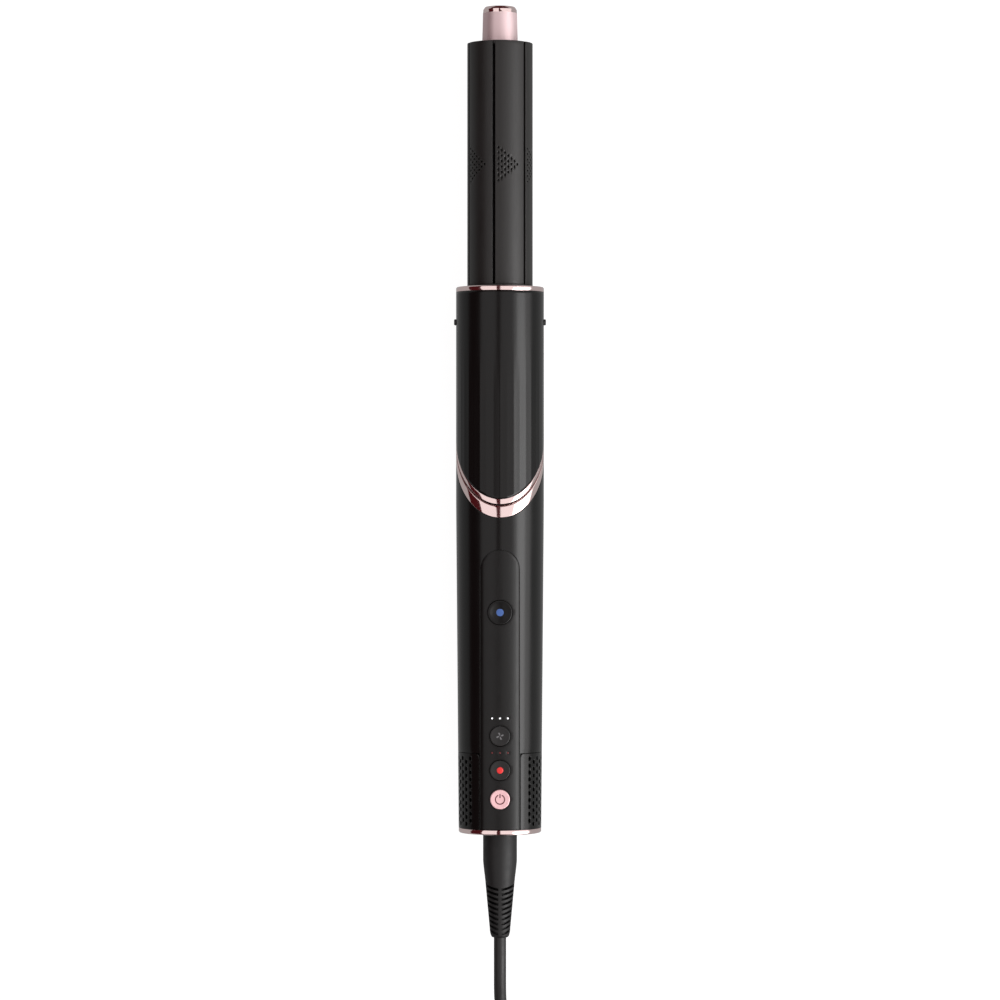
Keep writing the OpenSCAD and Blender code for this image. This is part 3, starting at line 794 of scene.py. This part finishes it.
def make_airflow_button():
    y = middle("airflow_button").y
    key = make_button("airflow_button", "airflow", ["button_black"],
                      key_profile(4.9, 0.3, 0.05, 4.5))
    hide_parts("airflow_button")
    blade = [(0.3, -0.12), (1, -0.42), (1.65, -0.3), (1.88, 0.14), (1.65, 0.44), (1.05, 0.3),
             (0.32, 0.16)]
    blades = []
    for k in range(4):
        turn = math.radians(90 * k + 18)
        c, s = math.cos(turn), math.sin(turn)
        blades.append([(x * c - w * s, x * s + w * c) for x, w in blade])
    flat_mark("airflow_mark", blades, y, -0.16, 0.12, "airflow", "icon_grey")


def make_cool_shot_button():
    # The dish faces take the blacker dish material: painted shade in the hollow.
    key = make_button("cool_shot_button", "cool_shot", ["button_black", "dish_painted_shade_black"],
                      key_profile(5.85, 1.1, 0.05, 5.2, -3.2))
    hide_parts("cool_shot_button")
    dot = make_button("cool_shot_dot", "cool_shot", ["mark_blue"],
                      [(0, -1.3), (1.92, -1.3), (1.92, -0.98), (1.8, -0.92), (1.3, -0.88),
                       (0.6, -0.86), (0, -0.85)],
                      "cool_shot_mark")
    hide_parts("cool_shot_dot")


def make_lights(node, mat):
    """Three domed light pipes that end flush with the panel."""
    centre = middle(node)
    pitch = high(node).x - centre.x - LIGHT_R
    verts, faces = [], []
    dome = [(0, -7), (0.42, -7), (0.42, -0.06), (0.37, 0), (0.23, 0.04), (0, 0.06)]
    for side in (-1, 0, 1):
        shift = Vector((side * pitch, 0, handle_sag(side * pitch, centre.y)))
        place = button_place(centre.y)
        section = [(r * MM, h * MM) for r, h in dome]
        more_verts, more_faces = closed_sweep(section, place, 24, closed_section=False)
        faces += [tuple(len(verts) + i for i in face) for face in more_faces]
        verts += [v + shift for v in more_verts]
    piece = make_piece(node.replace("lights", "light_pipes"), verts, faces, "handle", [mat])
    tidy(piece)
    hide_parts(node)


def handle_sag(x, y):
    """How far the panel's face falls away at x from the middle; negative."""
    r = handle_r(y) - PANEL_SINK
    return math.sqrt(r * r - x * x) - r


# ---- bright rings ----

def slanted_ring(name, node, body, t0, t1, r_in):
    section = rounded_section(r_in, BODY_R, t0, t1, 0.22 * MM)
    verts, faces = closed_sweep(section, on_slant, 360)
    ring = make_piece(name, verts, faces, body, ["rose_gold"])
    tidy(ring)
    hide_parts(node)


def upright_ring(name, node, body, section):
    verts, faces = closed_sweep(section, at, 256)
    ring = make_piece(name, verts, faces, body, ["rose_gold"])
    tidy(ring)
    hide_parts(node)


def make_rings():
    slanted_ring("handle_turn_ring", "handle_swivel_ring", "handle",
                 TURN_GAP_LOW, HANDLE_RING_TOP, BODY_R - 2.6 * MM)
    slanted_ring("head_turn_ring", "head_swivel_ring", "head",
                 HEAD_RING_FOOT, HEAD_RING_TOP, BODY_R - 2.1 * MM)
    top, bottom = high("head_top_ring").y, low("head_top_ring").y
    chamfer = 0.45 * MM
    section = [
        (16.3 * MM, bottom), (BODY_R - 0.1 * MM, bottom), (BODY_R, bottom + 0.1 * MM),
        (BODY_R, top - chamfer - 0.08 * MM), (BODY_R - 0.03 * MM, top - chamfer),
        (BODY_R - chamfer + 0.06 * MM, top - 0.04 * MM), (BODY_R - chamfer - 0.06 * MM, top),
        (16.5 * MM, top), (16.3 * MM, top - 0.2 * MM),
    ]
    upright_ring("head_rim", "head_top_ring", "head", section)
    inner = 16.4 * MM
    section = [
        (inner, FOOT_Y), (FOOT_R - 0.6 * MM, FOOT_Y), (FOOT_R - 0.45 * MM, FOOT_Y + 0.03 * MM),
        (FOOT_R - 0.04 * MM, FOOT_Y + 0.45 * MM), (FOOT_R, FOOT_Y + 0.6 * MM),
        (FOOT_R, RING_TOP - 0.1 * MM), (FOOT_R - 0.1 * MM, RING_TOP), (inner, RING_TOP),
    ]
    upright_ring("foot_ring", "base_ring", "filter_cover", section)


# ---- head ----

FLUTES = 40
FLUTE_DEPTH = 0.075 * MM
FLUTE_FULL = FOOT_Y + 211 * MM
FLUTE_NONE = FOOT_Y + 243 * MM
STUD_HOLE_R = 1.75 * MM


def head_point(angle, y):
    """The head's surface: round above, with shallow flutes that fade in towards the turning joint."""
    turn = angle * FLUTES / math.tau
    across = 2 * (turn - math.floor(turn)) - 1
    fade = 1 - smooth(y, FLUTE_FULL, FLUTE_NONE)
    return at(BODY_R - FLUTE_DEPTH * fade * (1 - across * across), angle, y)


def make_head_shell():
    columns = []
    for i in range(FLUTES * 8):
        angle = math.tau * i / (FLUTES * 8)
        foot = slant_y(BODY_R, angle, HEAD_RING_TOP)
        columns.append([head_point(angle, y) for y in spaced(foot, HEAD_TOP, 70)])
    verts, faces = grid(columns, wrap=True)
    shell = make_piece("head_casing", verts, faces, "head", ["gloss_black"])
    thicken(shell, 2 * MM)
    centre = middle("release_button_right")
    for side in (1, -1):
        turns = spaced(0, math.tau, 32)[:-1]
        rim = [(centre.y + STUD_HOLE_R * math.cos(t), AXIS_Z + STUD_HOLE_R * math.sin(t)) for t in turns]
        inner = [Vector((side * 15 * MM, y, z)) for y, z in rim]
        outer = [Vector((side * 25 * MM, y, z)) for y, z in rim]
        verts, faces = prism(inner, outer, 0)
        cut(shell, verts, [f if side > 0 else f[::-1] for f in faces])
    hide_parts("head_shell")


def make_release_buttons():
    """Round studs with a rounded end, one on each side of the head."""
    for side, body in ((1, "release_right"), (-1, "release_left")):
        node = "release_button_" + body.split("_")[1]
        centre = middle(node)
        tip = 22.5
        profile = [(0, 18.1), (2.8, 18.1), (2.8, 18.9), (1.5, 18.9), (1.5, tip - 0.5)]
        profile += [
            (1 + 0.5 * math.cos(t), tip - 0.5 + 0.5 * math.sin(t)) for t in spaced(0, math.pi / 2, 5)[1:]
        ]
        profile += [(0.5, tip), (0, tip)]

        def place(r, angle, out):
            return Vector((side * out, centre.y + side * r * math.cos(angle), AXIS_Z + r * math.sin(angle)))

        section = [(r * MM, x * MM) for r, x in profile]
        verts, faces = closed_sweep(section, place, 40, closed_section=False)
        stud = make_piece("release_stud_" + body.split("_")[1], verts, faces, body,
                          ["button_black"])
        tidy(stud)
        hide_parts(node)


# ---- filter cover ----

HOLE_ROWS = 10
HOLE_PITCH = 3.35 * MM
HOLE_COLUMNS = 8
HOLE_TURN = 8.5
FIRST_HOLE = 45.0
FIRST_HOLE_Y = FOOT_Y + 6.65 * MM
CORNER = 1.7 * MM


def oval(angle, y, half_w, half_h, count=12):
    """(angle, y) round a rounded slot centred there, on the filter cover."""
    points = []
    for i in range(count):
        turn = math.tau * i / count
        reach = 1 / (abs(math.cos(turn)) ** 3 + abs(math.sin(turn)) ** 3) ** (1 / 3)
        x, w = half_w * reach * math.cos(turn), half_h * reach * math.sin(turn)
        points.append((angle + x / handle_r(y), y + w))
    return points


def make_filter_cover():
    """A C-shaped sleeve with rounded top corners and rows of small rounded holes on both flanks."""
    top = COVER_TOP
    foot = RING_TOP + 0.02 * MM
    edge_half = TONGUE_HALF + SEAM
    first = angle_of(edge_half, foot)
    span = math.tau - 2 * first
    near = [s * MM / FOOT_R for s in (0, 0.1, 0.25, 0.5, 0.8, 1.2, 1.7)]
    turns = near + spaced(near[-1], span - near[-1], 260)[1:-1] + [span - s for s in reversed(near)]
    columns = []
    for turn in turns:
        side = min(turn, span - turn) * FOOT_R
        drop = CORNER - math.sqrt(max(0, CORNER**2 - (CORNER - side) ** 2)) if side < CORNER else 0
        column = []
        for y in spaced(foot, top - drop, 30):
            start = angle_of(edge_half, y)
            angle = start + (math.tau - 2 * start) * turn / span
            column.append(handle_point(angle, y))
        columns.append(column)
    verts, faces = grid(columns)
    cover = make_piece("cover_sleeve", verts, faces, "filter_cover",
                       ["gloss_black", "inner_plastic"])
    thicken(cover, 1.2 * MM, 0.18 * MM, 2, 60)
    verts, faces = [], []
    for side in (1, -1):
        for column in range(HOLE_COLUMNS):
            for row in range(HOLE_ROWS):
                y = FIRST_HOLE_Y + HOLE_PITCH * (row - 0.5 * (column % 2))
                angle = side * math.radians(FIRST_HOLE + HOLE_TURN * column)
                ring = oval(angle, y, 0.9 * MM, 0.98 * MM)
                inner = [at(handle_r(y) - 3 * MM, a, p) for a, p in ring]
                outer = [at(handle_r(y) + 2 * MM, a, p) for a, p in ring]
                more_verts, more_faces = prism(inner, outer, len(verts))
                verts += more_verts
                faces += more_faces
    cut(cover, verts, faces)
    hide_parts("filter_cover")
    inner, outer = 9 * MM, 17.4 * MM
    top = RING_TOP + 1.2 * MM
    section = [(inner, RING_TOP), (outer, RING_TOP), (outer, top), (inner, top)]
    verts, faces = closed_sweep(section, at, 128)
    plate = make_piece("cover_floor", verts, faces, "filter_cover", ["gloss_black"])
    tidy(plate)


# ---- barrel ----

SLOT_ANGLE = -11.0
SLOT_W = 1.3 * MM
ARROW_Y = FOOT_Y + 325.8 * MM
DOT_PITCH = 1.62 * MM
DOT_ROW = 2.67 * MM
DOT_R = 0.5 * MM


def arrow_dots():
    """(angle, y) of the holes of an arrow that points round the barrel: columns of 7, 6, 5 ... 1."""
    dots = []
    for column in range(7):
        angle = (column * DOT_PITCH - 0.8 * MM) / BARREL_R
        for k in range(7 - column):
            dots.append((angle, ARROW_Y + DOT_ROW * (k - (6 - column) / 2)))
    return dots


def make_vanes():
    half_slot = math.asin(SLOT_W / 2 / BARREL_R)
    for k in range(6):
        start = math.radians(SLOT_ANGLE + 60 * k) + half_slot
        end = math.radians(SLOT_ANGLE + 60 * (k + 1)) - half_slot
        heights = spaced(BARREL_FOOT, BARREL_TOP - 0.3 * MM, 60)
        columns = [[at(BARREL_R, a, y) for y in heights] for a in spaced(start, end, 56)]
        verts, faces = grid(columns)
        vane = make_piece("vane_%d" % (k + 1), verts, faces, "barrel", ["barrel_black"])
        thicken(vane, 1.4 * MM, 0.3 * MM, 3, 60)
        verts, faces = [], []
        for angle, y in arrow_dots():
            centre = angle + math.radians(60 * k)
            turns = spaced(0, math.tau, 12)[:-1]
            ring = [(centre + DOT_R * math.cos(t) / BARREL_R, y + DOT_R * math.sin(t)) for t in turns]
            inner = [at(BARREL_R - 3 * MM, a, p) for a, p in ring]
            outer = [at(BARREL_R + 2 * MM, a, p) for a, p in ring]
            more_verts, more_faces = prism(inner, outer, len(verts))
            verts += more_verts
            faces += more_faces
        cut(vane, verts, faces)
        if k == 0:
            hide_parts("barrel_vanes")


def make_barrel_ends():
    """The end cap and the cool tip with its bright chamfer."""
    top = BARREL_TOP
    section = [
        (0, top - 2 * MM), (14.5 * MM, top - 2 * MM), (14.5 * MM, top - 0.35 * MM),
        (14.2 * MM, top - 0.06 * MM), (13.9 * MM, top), (0, top)
    ]
    verts, faces = closed_sweep(section, at, 256, closed_section=False)
    cap = make_piece("end_cap", verts, faces, "barrel", ["barrel_black"])
    tidy(cap)
    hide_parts("barrel_end_cap")
    length = (TIP_TOP - top) / MM
    section = [(0, 0), (8.6, 0), (8.7, 0.1)]
    section += [(8.7 - 0.35 * share, 0.1 + (length - 3.2) * share) for share in spaced(0, 1, 16)][1:]
    band_rows = [(8.35, length - 3.0), (8.28, length - 2.9), (8.24, length - 1.55), (8.16, length - 1.35)]
    band_rows += [(7.5, length - 0.3), (7.25, length - 0.06), (7.0, length)]
    section += [*band_rows, (6.5, length), (0, length)]
    points = [(r * MM, top + h * MM) for r, h in section]
    verts, faces = closed_sweep(points, at, 128, closed_section=False)
    bright = len(section) - len(band_rows) - 3
    per_turn = len(points) - 1
    face_mats = [1 if i % per_turn >= bright else 0 for i in range(len(faces))]
    tip = make_piece("tip", verts, faces, "barrel", ["tip_satin", "rose_gold"],
                     face_mats, merge=0)
    tidy(tip)
    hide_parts("cool_tip")


# ---- strain relief and plug ----

RELIEF_SLOTS = 10
RELIEF_FIRST = -27.6
RELIEF_PITCH = 2.44
SLOT_RISE = 1.9
RIB_HALF = 0.9
SLOT_FLOOR = 3.8


def relief_radius(h):
    """Radius of the strain relief, in mm, at h mm along the wand from its foot."""
    if h > 5.65:
        return 9.3
    if h > -14:
        return 8.3
    taper = 8.3 - 3.15 * (-14 - h) / 34
    if h > -49.6:
        return taper
    return 3.05 + math.sqrt(max(0, 4 - (-49.6 - h) ** 2))


def quarter(edge, steps):
    """Angles from the front rib's middle to the side rib's middle, doubled up at the ribs' edges."""
    slim = math.radians(1)
    return [
        0, edge - slim, *spaced(edge, math.pi / 2 - edge, steps), math.pi / 2 - edge + slim
    ]


def make_strain_relief():
    """A tapered sleeve; ten bent slots in each quarter leave four ribs along it."""
    heights = [(7.4, False), (5.7, False), (5.6, False)] + [(h, False) for h in spaced(5, -26.4, 24)]
    for i in range(RELIEF_SLOTS):
        centre = RELIEF_FIRST - RELIEF_PITCH * i
        heights += [(centre + d, abs(d) < 0.6) for d in (0.9, 0.64, 0.57, 0.3, 0, -0.3, -0.57, -0.64, -0.9)]
    heights += [(h, False) for h in (-50.75, -50.9, -51.1, -51.3, -51.45, -51.6)]
    verts, faces = [], []
    for h, in_slot in heights:
        outer = relief_radius(h)
        bend = smooth(-h, 16, 26) * (1 - smooth(-h, 50, 51.5))
        edge = math.asin(RIB_HALF / outer)
        angles = quarter(edge, 16)
        for quadrant in range(4):
            row = angles if quadrant % 2 == 0 else [0, *(math.pi / 2 - a for a in reversed(angles[1:]))]
            for turn in row:
                from_front = turn if quadrant % 2 == 0 else math.pi / 2 - turn
                opened = in_slot and edge - 1e-9 < from_front < math.pi / 2 - edge + 1e-9
                radius = min(SLOT_FLOOR, outer - 0.6) if opened else outer
                lift = SLOT_RISE * bend * math.sin(from_front) ** 2
                angle = quadrant * math.pi / 2 + turn
                verts.append(at(radius * MM, angle, FOOT_Y + (h + lift) * MM))
    columns = len(verts) // len(heights)
    for row in range(len(heights) - 1):
        for k in range(columns):
            a, b = row * columns, (row + 1) * columns
            j = (k + 1) % columns
            faces.append((a + k, b + k, b + j, a + j))
    faces.append(tuple(range(columns)))
    faces.append(tuple(reversed(range(len(verts) - columns, len(verts)))))
    relief = make_piece("relief_sleeve", verts, faces, "handle", ["soft_rubber"], merge=0)
    tidy(relief)
    relief.data.set_sharp_from_angle(angle=math.radians(40))
    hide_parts("strain_relief")
    return relief


STRAP_WALL = 1 * MM
STRAP_CORNER = 4 * MM


def make_strap():
    """A flat strap round the hank."""
    foot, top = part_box("cord_tie")
    half = (top.x - foot.x) / 2
    height = top.z
    outline_points = []
    for x, z, start in ((1, 1, 0), (-1, 1, 90), (-1, -1, 180), (1, -1, 270)):
        for i in range(9):
            turn = math.radians(start + 90 * i / 8)
            outline_points.append((
                x * (half - STRAP_CORNER) + STRAP_CORNER * math.cos(turn),
                (height - STRAP_CORNER if z > 0 else STRAP_CORNER) + STRAP_CORNER * math.sin(turn), turn))
    verts, faces = [], []
    edge = 0.25 * MM
    section = [
        (0, foot.y + edge), (0, top.y - edge), (edge, top.y), (STRAP_WALL - edge, top.y),
        (STRAP_WALL, top.y - edge), (STRAP_WALL, foot.y + edge), (STRAP_WALL - edge, foot.y),
        (edge, foot.y),
    ]
    for x, z, turn in outline_points:
        for depth, y in section:
            verts.append(Vector((x - depth * math.cos(turn), y, z - depth * math.sin(turn))))
    count = len(section)
    for i in range(len(outline_points)):
        a, b = i * count, (i + 1) % len(outline_points) * count
        for k in range(count):
            j = (k + 1) % count
            faces.append((a + k, b + k, b + j, a + j))
    strap = make_piece("strap", verts, faces, "handle", ["tie_black"], merge=0)
    tidy(strap)
    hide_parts("cord_tie")
    return strap


# Sections of the plug, in mm: distance from the cord's end, half width, half height, squareness
PLUG_SECTIONS = [
    (0, 3.9, 3.9, 2), (0.4, 4.5, 4.5, 2), (5, 5.2, 5.1, 2), (10, 6.2, 6, 2.1), (15, 8.6, 7.6, 2.2),
    (19, 11.8, 9.2, 2.3), (23, 14.6, 10.7, 2.5), (28, 16.7, 12.1, 2.7), (33, 17.6, 12.9, 2.9),
    (40, 17.9, 13.2, 3), (47, 17.9, 13.2, 3), (49, 17.7, 13, 3), (49.7, 17.2, 12.6, 3),
    (50, 16.4, 11.8, 3),
]


def make_plug():
    """A smooth contour plug that swells from the cord to its face."""
    foot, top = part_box("plug_body")
    centre_x = (foot.x + top.x) / 2
    centre_z = (foot.z + top.z) / 2
    verts, faces = [], []
    steps = 72
    for along, half_x, half_z, square in PLUG_SECTIONS:
        for k in range(steps):
            turn = math.tau * k / steps
            across, up = math.cos(turn), math.sin(turn)
            reach = (abs(across) ** square + abs(up) ** square) ** (-1 / square)
            x = centre_x + half_x * MM * reach * across
            z = centre_z + half_z * MM * reach * up
            verts.append(Vector((x, top.y - along * MM, z)))
    for row in range(len(PLUG_SECTIONS) - 1):
        for k in range(steps):
            a, b = row * steps, (row + 1) * steps
            j = (k + 1) % steps
            faces.append((a + k, b + k, b + j, a + j))
    faces.append(tuple(range(steps)))
    faces.append(tuple(reversed(range(len(verts) - steps, len(verts)))))
    plug = make_piece("plug_moulding", verts, faces, "handle", ["plug_black"], merge=0)
    tidy(plug)
    plug.data.set_sharp_from_angle(angle=math.radians(60))
    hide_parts("plug_body")
    return plug


make_handle_shell()
make_panel()
make_power_button()
make_temperature_button()
make_airflow_button()
make_cool_shot_button()
make_lights("white_lights", "light_white")
make_lights("red_lights", "light_red")
make_rings()
make_head_shell()
make_release_buttons()
make_filter_cover()
make_vanes()
make_barrel_ends()
RELIEF = make_strain_relief()
STRAP = make_strap()
PLUG = make_plug()


# ---- carried-over CAD nodes ----

def finish_nodes():
    """Every CAD node that stays gets the procedural material of its slot."""
    slots = {entry["node"]: entry["material_slot"] for entry in frame["record"]["subparts"]}
    for name, node in frame["nodes"].items():
        node.data.materials.clear()
        node.data.materials.append(MATS[slots[name]])


# ---- floor and light ----

FLOOR_IN_REFLECTIONS = 0.4


def make_floor():
    """White paper with its own glow; reflections see it dimmer, so the wand's sides stay dark."""
    mesh = bpy.data.meshes.new("floor")
    reach = 30.0
    corners = [(-reach, -reach, 0), (reach, -reach, 0), (reach, reach, 0), (-reach, reach, 0)]
    mesh.from_pydata(corners, [], [(0, 1, 2, 3)])
    floor = bpy.data.objects.new("floor", mesh)
    bpy.context.scene.collection.objects.link(floor)
    paper = material("floor_paper", (0.15, 0.15, 0.15), 0.9,
                     Emission_Color=(1, 1, 1, 1), Emission_Strength=0.94)
    roughen(paper, 900, 0.02)
    nodes, links = paper.node_tree.nodes, paper.node_tree.links
    seen_directly = nodes.new("ShaderNodeLightPath").outputs["Is Camera Ray"]
    dim_paper = nodes.new("ShaderNodeEmission")
    dim_paper.inputs["Strength"].default_value = FLOOR_IN_REFLECTIONS
    mixed = nodes.new("ShaderNodeMixShader")
    links.new(seen_directly, mixed.inputs[0])
    links.new(dim_paper.outputs[0], mixed.inputs[1])
    links.new(nodes["Principled BSDF"].outputs[0], mixed.inputs[2])
    links.new(mixed.outputs[0], nodes["Material Output"].inputs["Surface"])
    mesh.materials.append(paper)


LIGHT_REACH = 1.3
LIGHT_END = 1.6


def soft_box(name, start, end, radiance, far_y=LIGHT_END):
    """A long soft light parallel to the wand, filling the angles start..end round it, in degrees."""
    half = math.radians(end - start) / 2
    width = 2 * LIGHT_REACH * math.tan(half)
    length = LIGHT_END + far_y
    data = bpy.data.lights.new(name, "AREA")
    data.shape = "RECTANGLE"
    data.size = width
    data.size_y = length
    data.energy = radiance * math.pi * width * length
    light = bpy.data.objects.new(name, data)
    angle = math.radians(start) + half
    light.location = (LIGHT_REACH * math.sin(angle), (far_y - LIGHT_END) / 2,
                      AXIS_Z + LIGHT_REACH * math.cos(angle))
    light.rotation_euler = (0, angle, 0)
    bpy.context.scene.collection.objects.link(light)


def make_lights_and_world():
    """Broad boxes on both sides, the brighter middle of the right one short of the barrel, and a dim red
    room that only reflections see, in front of a white backdrop."""
    soft_box("right_wide", 1, 97, 0.95)
    soft_box("right_middle", 36, 86, 1.6, 0.17)
    soft_box("right_core", 45, 69, 3.6, 0.17)
    soft_box("left_wide", -52, -9, 0.9)
    world = bpy.data.worlds.new("world")
    world.use_nodes = True
    nodes, links = world.node_tree.nodes, world.node_tree.links
    surroundings = nodes["Background"]
    surroundings.inputs["Color"].default_value = (0.06, 0.008, 0.01, 1)
    backdrop = nodes.new("ShaderNodeBackground")
    backdrop.inputs["Color"].default_value = (1, 1, 1, 1)
    mixed = nodes.new("ShaderNodeMixShader")
    links.new(nodes.new("ShaderNodeLightPath").outputs["Is Camera Ray"], mixed.inputs[0])
    links.new(surroundings.outputs[0], mixed.inputs[1])
    links.new(backdrop.outputs[0], mixed.inputs[2])
    links.new(mixed.outputs[0], nodes["World Output"].inputs["Surface"])
    bpy.context.scene.world = world
    bpy.context.scene.view_settings.view_transform = "Standard"


finish_nodes()
make_floor()
make_lights_and_world()
